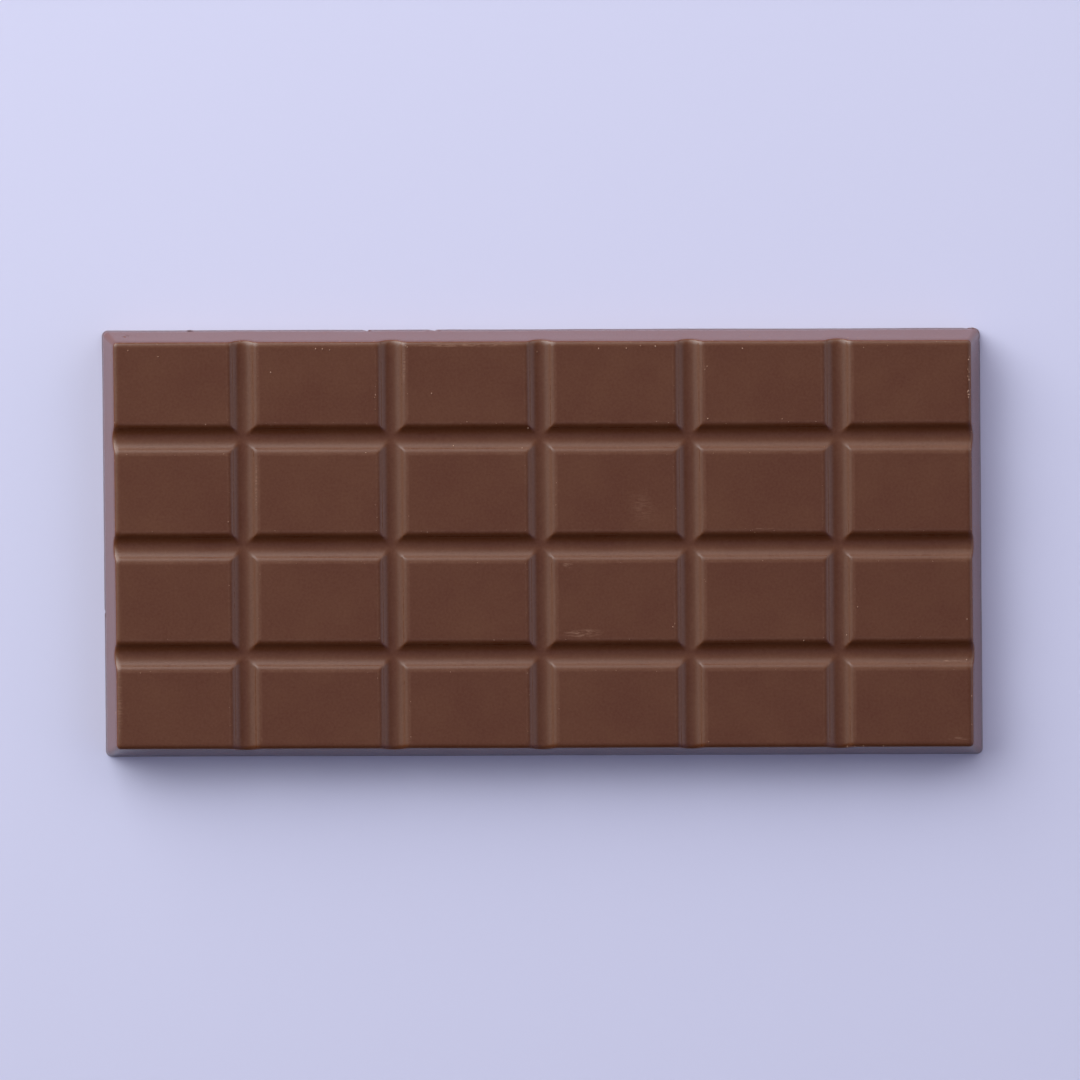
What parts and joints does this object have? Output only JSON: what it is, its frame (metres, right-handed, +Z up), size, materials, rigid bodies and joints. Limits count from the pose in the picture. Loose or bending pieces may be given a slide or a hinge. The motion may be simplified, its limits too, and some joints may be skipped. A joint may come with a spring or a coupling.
{
  "type": "chocolate bar",
  "caption": "Flat moulded milk chocolate bar, divided by rounded grooves into rectangular blocks for snapping off.",
  "frame": {"origin": "middle of the flat back, on the surface that the bar lies on", "axes": "+X along the long side, +Y along the short side, +Z up through the thickness, towards the blocks"},
  "size_m": [0.155, 0.0754, 0.0076],
  "materials": {
    "chocolate": "smooth, with a soft waxy gloss"
  },
  "bodies": {
    "root": {"chocolate_bar": "chocolate"}
  },
  "joints": []
}
